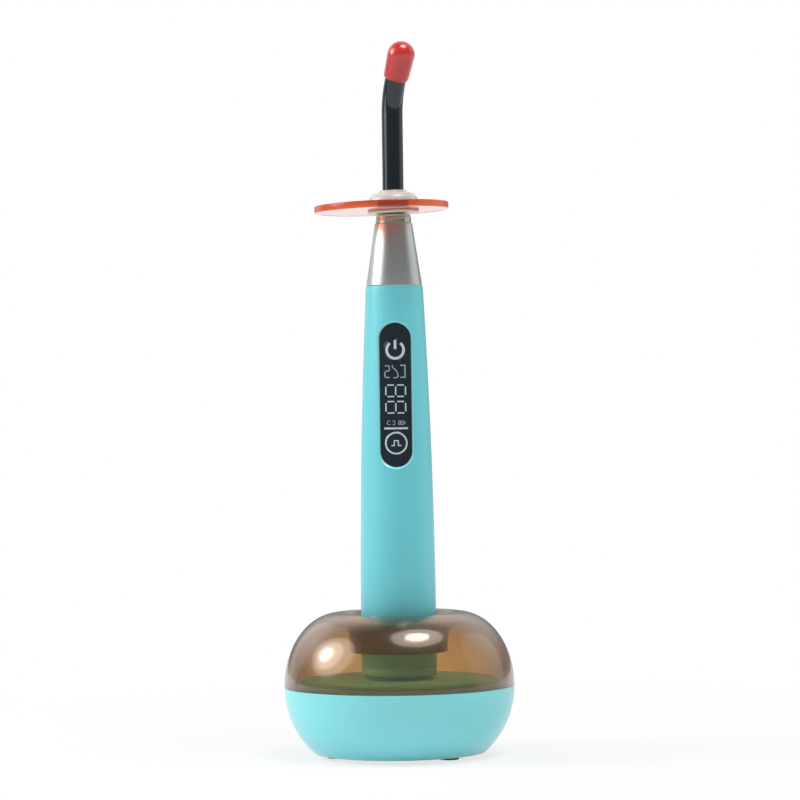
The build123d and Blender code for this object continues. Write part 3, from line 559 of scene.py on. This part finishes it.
def grown(name, mesh, tree, keys, sizes):
    # runs a geometry tree on a mesh and returns the plain result
    host = linked(name, mesh)
    modifier = host.modifiers.new("grow", "NODES")
    modifier.node_group = tree
    for label, value in sizes.items():
        modifier[keys[label]] = value
    result = baked(host)
    bpy.data.objects.remove(host)
    return result


def feetInRing():
    tree, keys, source, grow, close = growTree("feetInRing", feet)
    ring = grow("GeometryNodeMeshCircle", {"Vertices": source.outputs["Count"],
                                           "Radius": source.outputs["Ring Radius"]})
    turn = grow("ShaderNodeCombineXYZ", {2: source.outputs["First Angle"]})
    turned = grow("GeometryNodeTransform", {0: ring, "Rotation": turn})
    placed = grow("GeometryNodeInstanceOnPoints", {0: turned, "Instance": source.outputs[0]})
    close(placed, footRubber)
    return grown("footHost", latheMesh(footOutline, 48), tree, keys, feet)


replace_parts(meshObject("rubberFeet", feetInRing(), footRubber, "dock"), "rubber_feet")
print("dock made")

sleeve = {
    "radius": 14.35, "topRadius": 10.8, "bottom": 34.2, "top": 178.2, "curveStart": 40.2, "wall": 2.2,
    "bottomRounding": 0.2, "topRounding": 0.44, "rows": 46, "segments": 192,
}
window = {
    "middle": 136.7, "width": 11.8, "length": 54.3, "bevel": 0.8, "cutFrom": -20, "cutTo": 0,
    "endSteps": 28, "sideSteps": 26,
    # the frame's section, as how far it is outside the window and how deep under the sleeve's surface
    "section": [(0.8, 0.0), (0.72, 0.02), (0.62, 0.1), (0.12, 0.62), (0.03, 0.74), (0.0, 0.9), (0.0, 2.2),
                (0.8, 2.2)],
}


def sleeveRadius(z, inset=0.0):
    # the sleeve's straight foot turns into one long arc
    height = sleeve["top"] - sleeve["curveStart"]
    drop = sleeve["radius"] - sleeve["topRadius"]
    bend = (height ** 2 + drop ** 2) / (2 * drop)
    rise = max(z - sleeve["curveStart"], 0)
    return sleeve["radius"] - bend + sqrt(bend ** 2 - rise ** 2) - inset


def sleeveRows(inset):
    heights = [sleeve["bottom"] + (sleeve["top"] - sleeve["bottom"]) * k / sleeve["rows"]
               for k in range(sleeve["rows"] + 1)]
    return [(sleeveRadius(z, inset), z, 0) for z in heights]


sleeveCorners = sleeveRows(0)
sleeveCorners[0] = sleeveCorners[0][:2] + (sleeve["bottomRounding"],)
sleeveCorners[-1] = sleeveCorners[-1][:2] + (sleeve["topRounding"],)
sleeveCorners += reversed(sleeveRows(sleeve["wall"]))
windowHole = slotPrism(window["width"] + 2 * window["bevel"], window["length"] + 2 * window["bevel"],
                       window["middle"], window["cutFrom"], window["cutTo"])
sleeveMesh = carved(latheMesh(roundedOutline(sleeveCorners), sleeve["segments"]), [windowHole])
gripSleeve = meshObject("gripSleeve", sleeveMesh, sleeveTeal, "handpiece")
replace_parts(gripSleeve, "grip_sleeve")


def onSleeve(x, z, inset):
    # point on the sleeve's front, x to the right and z up from the window's middle, in millimetres
    r = sleeveRadius(z + window["middle"], inset)
    return Vector((x * mm, -sqrt(max(r * r - x * x, 0)) * mm, (z + window["middle"]) * mm))


def stadiumPoints(wider):
    # points round the window's outline, grown outwards
    ends, sides = window["endSteps"], window["sideSteps"]
    radius = window["width"] / 2 + wider
    straight = (window["length"] - window["width"]) / 2
    end = [(radius * cos(pi * k / ends), straight + radius * sin(pi * k / ends)) for k in range(ends + 1)]
    side = [(-radius, straight - 2 * straight * k / sides) for k in range(1, sides)]
    points = end + side  # half of the outline; the other half is the same turned round
    return points + [(-x, -z) for x, z in points]


def windowFrame():
    # the bevelled frame round the window
    bm = bmesh.new()
    loops = [[bm.verts.new(onSleeve(x, z, inset)) for x, z in stadiumPoints(wider)]
             for wider, inset in window["section"]]
    for i, loop in enumerate(loops):
        other = loops[(i + 1) % len(loops)]
        for k in range(len(loop)):
            bm.faces.new((loop[k], other[k], other[(k + 1) % len(loop)], loop[(k + 1) % len(loop)]))
    return meshFrom(bm, "windowFrame")


meshObject("windowFrame", windowFrame(), frameHighlightTeal, "handpiece", sharp=35)
mergedCopy("window_panel", "windowPanel", screenBlack, "handpiece", sharp=30)
mergedCopy("power_key", "powerKey", keyBlack, "power_key", sharp=30)
mergedCopy("mode_key", "modeKey", keyBlack, "mode_key", sharp=30)
mergedCopy("end_cap", "endCap", sleeveTeal, "handpiece", sharp=30)

# the moulded signs; heights are from the window's middle
signs = {
    "inset": 0.57, "thickness": 0.06,
    "powerHeight": 16.95, "powerRadius": 3.2, "powerWidth": 1.0, "powerGap": 38, "powerBar": (0.3, 3.75),
    "modeHeight": -18.15, "modeRadius": 3.95, "modeWidth": 0.62, "pulseWidth": 0.42,
    "pulse": [(-1.9, -0.9), (-0.75, -0.9), (-0.75, 0.9), (0.75, 0.9), (0.75, -0.9), (1.9, -0.9)],
    "digitHeights": (1.55, -4.65), "digitLength": 7.4, "digitWidth": 4.3, "barWidth": 0.5, "barGap": 1.15,
    "ruleHeight": -12.6, "ruleReach": 4.5, "ruleWidth": 0.7,
    "curveWidth": 0.42, "bracketWidth": 0.5, "smallWidth": 0.26,
}


def bentPoints(points, closed, step=0.5):
    # more points along the straight runs, so that they follow the panel's curve
    ends = points[1:] + points[:1] if closed else points[1:]
    more = []
    for (x0, z0), (x1, z1) in zip(points, ends):
        pieces = max(1, round(hypot(x1 - x0, z1 - z0) / step))
        more += [(x0 + (x1 - x0) * k / pieces, z0 + (z1 - z0) * k / pieces) for k in range(pieces)]
    return more if closed else more + [points[-1]]


def strokesMesh(strokes):
    # flat bars, rings and curves that lie on the panel; each is (points, width, closed)
    bm = bmesh.new()
    section = ((1, 0), (-1, 0), (-1, signs["thickness"]), (1, signs["thickness"]))
    for corners, width, closed in strokes:
        points = bentPoints(corners, closed)
        count = len(points)
        sections = []
        for k, (x, z) in enumerate(points):
            ahead = points[(k + 1) % count] if closed or k < count - 1 else points[k]
            back = points[k - 1] if closed or k > 0 else points[k]
            way = Vector((ahead[0] - back[0], ahead[1] - back[1])).normalized()
            side = Vector((-way.y, way.x)) * width / 2
            if 0 < k < count - 1 or closed:
                first = Vector((x - back[0], z - back[1])).normalized()
                second = Vector((ahead[0] - x, ahead[1] - z)).normalized()
                side = side / max(sqrt((1 + first.dot(second)) / 2), 0.5)
            sections.append([bm.verts.new(onSleeve(x + s * side.x, z + s * side.y, signs["inset"] + deep))
                             for s, deep in section])
        for k in range(count if closed else count - 1):
            here, there = sections[k], sections[(k + 1) % count]
            for c in range(4):
                bm.faces.new((here[c], here[(c + 1) % 4], there[(c + 1) % 4], there[c]))
        if not closed:
            bm.faces.new(sections[0])
            bm.faces.new(list(reversed(sections[-1])))
    return meshFrom(bm, "strokes")


def arcLine(x, z, radius, start, end, steps):
    return arcPoints((x, z), radius, radius, start, end, steps)


def digitBars(middleZ):
    # seven bars of an eight that lies on its side
    width = signs["barWidth"]
    gap = width * signs["barGap"]
    x0, x1, x2 = -signs["digitLength"] / 2, 0, signs["digitLength"] / 2
    z0, z1 = middleZ - signs["digitWidth"] / 2, middleZ + signs["digitWidth"] / 2
    bars = [([(x, z0 + gap), (x, z1 - gap)], width, False) for x in (x0, x1, x2)]
    return bars + [([(a + gap, z), (b - gap, z)], width, False)
                   for a, b in ((x0, x1), (x1, x2)) for z in (z0, z1)]


def powerSign():
    # a ring that is open at the top, with a bar in the gap
    z, gap, bar = signs["powerHeight"], signs["powerGap"], signs["powerBar"]
    ring = arcLine(0, z, signs["powerRadius"], 90 + gap, 450 - gap, 40)
    return [(ring, signs["powerWidth"], False),
            ([(0, z + bar[0]), (0, z + bar[1])], signs["powerWidth"], False)]


def modeSign():
    # a closed ring round the line of one pulse
    z = signs["modeHeight"]
    ring = arcLine(0, z, signs["modeRadius"], 0, 360, 64)[:-1]
    return [(ring, signs["modeWidth"], True),
            ([(x, z + rise) for x, rise in signs["pulse"]], signs["pulseWidth"], False)]


def dimSigns():
    # three plain curves above the digits, and an arc, a bracket and a battery below them
    curve, bracket, small = signs["curveWidth"], signs["bracketWidth"], signs["smallWidth"]
    return [
        ([(-4.0, 11.0), (-2.6, 11.0), (-2.2, 10.4), (-2.2, 9.5), (-2.6, 9.0), (-3.6, 9.0), (-4.0, 8.4),
          (-4.0, 7.2), (-3.6, 6.6), (-2.2, 6.6)], curve, False),
        ([(-1.2, 11.2)] + arcLine(-2.6, 7.0, 3.6, 62, 0, 10) + [(0.4, 6.5), (-0.8, 6.4)], curve, False),
        ([(1.8, 11.1), (3.6, 11.1), (3.6, 6.6), (1.8, 6.6)], bracket, False),
        (arcLine(-2.6, -10.5, 0.75, 60, 300, 12), small, False),
        ([(-1.3, -9.8), (-0.5, -9.8), (-0.5, -11.2), (-1.3, -11.2)], small, False),
        ([(1.0, -9.85), (2.9, -9.85), (2.9, -11.15), (1.0, -11.15)], small, True),
        ([(1.35, -10.5), (2.3, -10.5)], 0.6, False),
        ([(3.4, -10.15), (3.4, -10.85)], 0.4, False),
    ]


readout = [bar for z in signs["digitHeights"] for bar in digitBars(z)]
readout.append(([(-signs["ruleReach"], signs["ruleHeight"]), (signs["ruleReach"], signs["ruleHeight"])],
                signs["ruleWidth"], False))
for name, strokes, glow, body in (("powerSign", powerSign(), iconGlow, "power_key"),
                                  ("modeSign", modeSign(), iconGlow, "mode_key"),
                                  ("readout", readout, iconGlow, "handpiece"),
                                  ("dimReadout", dimSigns(), iconDim, "handpiece")):
    meshObject(name, strokesMesh(strokes), glow, body, sharp=60)
print("handpiece made")

nose = {
    "bottomRadius": 10.6, "topRadius": 7.1, "bottom": 178.25, "top": 201.9, "boreRadius": 5.0,
    "boreBottom": 192.1, "seatRadius": 6.05, "seatDepth": 2, "chamberTop": 6.15, "chamberRadius": 7.8,
    "chamberHeight": 184.95, "spigotRadius": 8.55, "spigotInside": 7.25, "spigotBottom": 171.2,
    "spigotTop": 178.2, "segments": 160,
}
coneOutline = roundedOutline([
    (nose["spigotInside"], nose["spigotBottom"], 0), (nose["spigotRadius"], nose["spigotBottom"], 0),
    (nose["spigotRadius"], nose["bottom"], 0), (nose["bottomRadius"], nose["bottom"], 0.18),
    (nose["topRadius"], nose["top"], 0.2), (nose["seatRadius"], nose["top"], 0),
    (nose["seatRadius"], nose["top"] - nose["seatDepth"], 0),
    (nose["boreRadius"], nose["top"] - nose["seatDepth"], 0), (nose["boreRadius"], nose["boreBottom"], 0),
    (nose["chamberTop"], nose["boreBottom"], 0), (nose["chamberRadius"], nose["chamberHeight"], 0),
    (nose["spigotInside"], nose["spigotTop"], 0)])
coneMesh = latheMesh(coneOutline, nose["segments"])
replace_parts(meshObject("noseCone", coneMesh, coneMetal, "handpiece"), "nose_cone")

noseRing = {"bore": 5.05, "spigotRadius": 5.9, "radius": 6.85, "topRadius": 6.45, "top": 205.4, "gap": 0.05,
            "segments": 128}
ringBottom = nose["top"] + noseRing["gap"]
ringOutline = roundedOutline([
    (noseRing["bore"], nose["top"] - nose["seatDepth"], 0),
    (noseRing["spigotRadius"], nose["top"] - nose["seatDepth"], 0),
    (noseRing["spigotRadius"], ringBottom, 0), (noseRing["radius"], ringBottom, 0.25),
    (noseRing["topRadius"], noseRing["top"], 0.45), (noseRing["bore"], noseRing["top"], 0.15)])
ringMesh = latheMesh(ringOutline, noseRing["segments"])
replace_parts(meshObject("noseRing", ringMesh, ringMetal, "handpiece", sharp=40), "nose_ring")

rod = {"Radius": 4.0 * mm, "Sides": 64}
rodPath = {"bottom": 192.8, "straight": 50.6, "bendRadius": 30.0, "bend": 26.0, "turn": 30.0, "tip": 9.0,
           "straightSteps": 12, "bendSteps": 24, "tipSteps": 4}
bendWay = Vector((sin(radians(rodPath["turn"])), -cos(radians(rodPath["turn"])), 0))
upWay = Vector((0, 0, 1))


def rodPoints():
    # the guide's middle line: straight up, round the bend, and straight on to the tip
    straight, bend, tip = rodPath["straightSteps"], rodPath["bendSteps"], rodPath["tipSteps"]
    radius = rodPath["bendRadius"]
    start = Vector((0, 0, rodPath["bottom"]))
    centre = start + upWay * rodPath["straight"] + bendWay * radius
    points = [start + upWay * rodPath["straight"] * k / straight for k in range(straight)]
    for k in range(bend + 1):
        angle = radians(rodPath["bend"] * k / bend)
        points.append(centre - bendWay * radius * cos(angle) + upWay * radius * sin(angle))
    tipWay = bendWay * sin(radians(rodPath["bend"])) + upWay * cos(radians(rodPath["bend"]))
    points += [points[-1] + tipWay * rodPath["tip"] * k / tip for k in range(1, tip + 1)]
    return points, tipWay


def sweptRod(points):
    # a round bar swept along the guide's line
    line = bpy.data.meshes.new("rodLine")
    line.from_pydata([p * mm for p in points], [(k, k + 1) for k in range(len(points) - 1)], [])
    tree, keys, source, grow, close = growTree("sweptRod", rod)
    curve = grow("GeometryNodeMeshToCurve", {0: source.outputs[0]})
    circle = grow("GeometryNodeCurvePrimitiveCircle", {"Resolution": source.outputs["Sides"],
                                                      "Radius": source.outputs["Radius"]})
    close(grow("GeometryNodeCurveToMesh", {"Curve": curve, "Profile Curve": circle, "Fill Caps": True}),
          rodGlass)
    return grown("rodHost", line, tree, keys, rod)


rodLine, tipWay = rodPoints()
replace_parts(meshObject("lightGuide", sweptRod(rodLine), rodGlass, "guide"), "light_guide")

# heights in the cap are from the rod's end, with the dome above it
cap = {"outside": 4.8, "flare": 0.35, "mouth": 4.55, "grip": 8.7, "domeWall": 0.9, "bore": 4.05,
       "gap": 0.05, "shoulderInset": 0.02, "shoulderDrop": 0.6, "waist": 1.2, "waistRounding": 1.5,
       "boreMiddle": -4, "domeSteps": 28, "segments": 96}
domeRadius = cap["outside"] + cap["flare"]
capOutline = [(0, cap["gap"])] + arcPoints((0, cap["domeWall"]), domeRadius, domeRadius, 90, 0,
                                           cap["domeSteps"])
capOutline += roundedOutline([
    (domeRadius - cap["shoulderInset"], cap["domeWall"] - cap["shoulderDrop"], 0),
    (cap["outside"], cap["waist"] - cap["grip"], cap["waistRounding"]), (cap["mouth"], -cap["grip"], 0.22),
    (cap["bore"], -cap["grip"], 0.1), (cap["bore"], cap["boreMiddle"], 0)])
capOutline += [(cap["bore"], cap["gap"])]
capPlace = Matrix.Translation(rodLine[-1] * mm) @ upWay.rotation_difference(tipWay).to_matrix().to_4x4()
capMesh = latheMesh(capOutline, cap["segments"], capPlace)
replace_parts(meshObject("tipCap", capMesh, capRed, "cap", sharp=40), "tip_cap")

shield = {"radius": 25.5, "thickness": 2.6, "offset": -4.5, "tilt": 1.6, "height": 208.15, "hole": 6.05,
          "rounding": 0.4, "rim": 3, "segments": 192}
hub = {"bore": 4.2, "flangeRadius": 9.8, "flange": 1.1, "grooveRadius": 6.0, "gap": 0.05, "domeRadius": 9.5,
       "domeHeight": 4.25, "domeRounding": 3.8, "collarRadius": 5.2, "collarHeight": 5.05, "segments": 128}
shieldTilt = Matrix.Rotation(-radians(shield["tilt"]), 4, "Y")
shieldPlace = Matrix.Translation((0, 0, shield["height"] * mm)) @ shieldTilt
halfPlate = shield["thickness"] / 2
hubOutline = roundedOutline([
    (hub["bore"], -halfPlate - hub["flange"], 0.1), (hub["flangeRadius"], -halfPlate - hub["flange"], 0.4),
    (hub["flangeRadius"], -halfPlate - hub["gap"], 0.3), (hub["grooveRadius"], -halfPlate - hub["gap"], 0),
    (hub["grooveRadius"], halfPlate + hub["gap"], 0), (hub["domeRadius"], halfPlate + hub["gap"], 0.25),
    (hub["domeRadius"], halfPlate + hub["domeHeight"], hub["domeRounding"]),
    (hub["collarRadius"], halfPlate + hub["domeHeight"], 0.3),
    (hub["collarRadius"], halfPlate + hub["collarHeight"], 0.4),
    (hub["bore"], halfPlate + hub["collarHeight"], 0.1)])
hubMesh = latheMesh(hubOutline, hub["segments"], shieldPlace)
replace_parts(meshObject("shieldHub", hubMesh, hubSilicone, "hub", sharp=50), "shield_hub")


def plateOutline():
    # a plate with a rounded rim; its rim is shifted, so that the hole lies off its middle
    rim = roundedOutline([
        (shield["radius"] - shield["rim"], -halfPlate, 0), (shield["radius"], -halfPlate, shield["rounding"]),
        (shield["radius"], halfPlate, shield["rounding"]), (shield["radius"] - shield["rim"], halfPlate, 0)])
    shifted = [(r, z, shield["offset"]) for r, z in rim]
    return [(shield["hole"], -halfPlate)] + shifted + [(shield["hole"], halfPlate)]


shieldMesh = latheMesh(plateOutline(), shield["segments"], shieldPlace)
lightShield = meshObject("lightShield", shieldMesh, shieldOrange, "shield", sharp=50)
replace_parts(lightShield, "light_shield")
print("nose, guide and shield made")

# pieces that keep the shape of their node
finishOf = {
    "base_screws": platedMetal, "ballast_ring": castMetal, "dock_board": boardGreen,
    "charging_inlet": platedMetal, "pin_block": darkPlastic, "inner_charge_pin": goldMetal,
    "outer_charge_pin": goldMetal, "centre_contact": goldMetal, "ring_contact": goldMetal,
    "main_board": boardGreen, "board_screws": platedMetal, "display_module": darkPlastic,
    "key_switches": darkPlastic, "battery": cellSleeve, "inner_frame": darkPlastic,
    "battery_contacts": goldMetal, "nose_seal": sealRubber, "heat_sink": coneMetal, "led_module": lightChip,
    "lens": clearLens, "guide_ferrule": platedMetal, "guide_seal": sealRubber,
}
for name, material in finishOf.items():
    nodes[name].data.materials.clear()
    nodes[name].data.materials.append(material)
print("inner pieces and fittings finished")

stage = {
    "floorSize": 6.0, "floorDepth": 0.0002, "floorColour": (0.88, 0.88, 0.88, 1), "floorLift": 0.75,
    "fadeStart": 0.10, "fadeEnd": 0.35,
    "world": 0.34, "mirrored": 0.22, "ceiling": 0.78, "ceilingStart": 0.06, "ceilingEnd": 0.55,
}
white = (1, 1, 1, 1)


def floorPaper():
    # pale paper; to the camera, in mirrors and through clear walls it fades to the white of the room
    f = Finish("floorPaper")
    paper = f.shine(Base_Color=stage["floorColour"], Roughness=0.9)
    sight = f.larger(f.ray("Is Camera Ray"), f.ray("Is Glossy Ray"))
    away = f.ramp(f.distance(), stage["fadeStart"], stage["fadeEnd"], stage["floorLift"], 1.0)
    seen = f.larger(sight * away, f.ray("Is Transmission Ray"))
    seen = f.add("Math", {"operation": "SUBTRACT", "use_clamp": True}, {0: seen, 1: f.ray("Diffuse Depth")})
    return f.done(f.mixed(seen, paper, f.add("Emission", {}, {0: white, 1: 1.0})))


def softRoom():
    # dim round the lamps, with a white ceiling behind the object that glossy surfaces mirror
    room = Finish("softRoom", bpy.data.worlds, "World")
    towards = [room.ramp(room.add("SeparateXYZ", {}, {0: room.add("TexCoord")}, out=axis),
                         stage["ceilingStart"], stage["ceilingEnd"]) for axis in ("Y", "Z")]
    mirrored = towards[0] * towards[1] * stage["ceiling"] - (stage["world"] - stage["mirrored"])
    level = room.ray("Is Glossy Ray") * mirrored + stage["world"]
    plain = room.larger(room.ray("Is Camera Ray"), room.ray("Is Transmission Ray"))
    plain = plain - room.ray("Diffuse Depth")
    return room.done(room.add("Background", {}, {0: white, 1: room.larger(level, plain)}))


bm = bmesh.new()
bm.faces.new([bm.verts.new((x * stage["floorSize"], y * stage["floorSize"], -stage["floorDepth"]))
              for x, y in ((-1, -1), (1, -1), (1, 1), (-1, 1))])
floorMesh = meshFrom(bm, "floor", outwards=False)
floorMesh.materials.append(floorPaper())
floor = linked("floor", floorMesh)
bpy.context.scene.world = softRoom()

lampAim = Vector((0, 0, 0.13))
lamps = {  # place, width, height and power of each soft light
    "leftBox": ((-1.0, 0.02, 0.60), 0.30, 0.30, 1.6),
    "leftMiddle": ((-1.0, -0.05, 0.63), 0.60, 0.62, 2.4),
    "leftGlow": ((-1.0, -0.12, 0.66), 1.05, 0.95, 4.6),
    "leftRim": ((-0.75, 0.80, 0.45), 0.8, 1.0, 0.8),
    "topBox": ((0.26, -0.26, 1.1), 0.40, 0.32, 3.0),
    "topGlow": ((0.26, -0.26, 1.12), 0.9, 0.7, 4.0),
    "rightBox": ((1.25, 0.35, 0.45), 1.3, 1.6, 2.4),
}
for name, (place, width, height, power) in lamps.items():
    lamp = bpy.data.lights.new(name, "AREA")
    lamp.shape = "ELLIPSE"
    lamp.size = width
    lamp.size_y = height
    lamp.energy = power
    thing = linked(name, lamp)
    thing.location = place
    thing.rotation_euler = (lampAim - Vector(place)).to_track_quat("-Z", "Y").to_euler()

view = {"place": (0.0016, -1.150, 0.1272), "lens": 136.1, "sensor": 36, "rise": 0.38, "roll": 0.75,
        "near": 0.01, "far": 50}
lens = bpy.data.cameras.new("camera")
lens.lens = view["lens"]
lens.sensor_width = view["sensor"]
lens.dof.use_dof = False
lens.clip_start = view["near"]
lens.clip_end = view["far"]
camera = linked("camera", lens)
camera.location = view["place"]
aim = Matrix.Rotation(radians(90 + view["rise"]), 4, "X") @ Matrix.Rotation(radians(-view["roll"]), 4, "Z")
camera.rotation_euler = aim.to_euler()
bpy.context.scene.camera = camera
bpy.context.scene.view_settings.view_transform = "Standard"
bpy.context.scene.cycles.transparent_max_bounces = 24
print("stage, lamps and camera set")
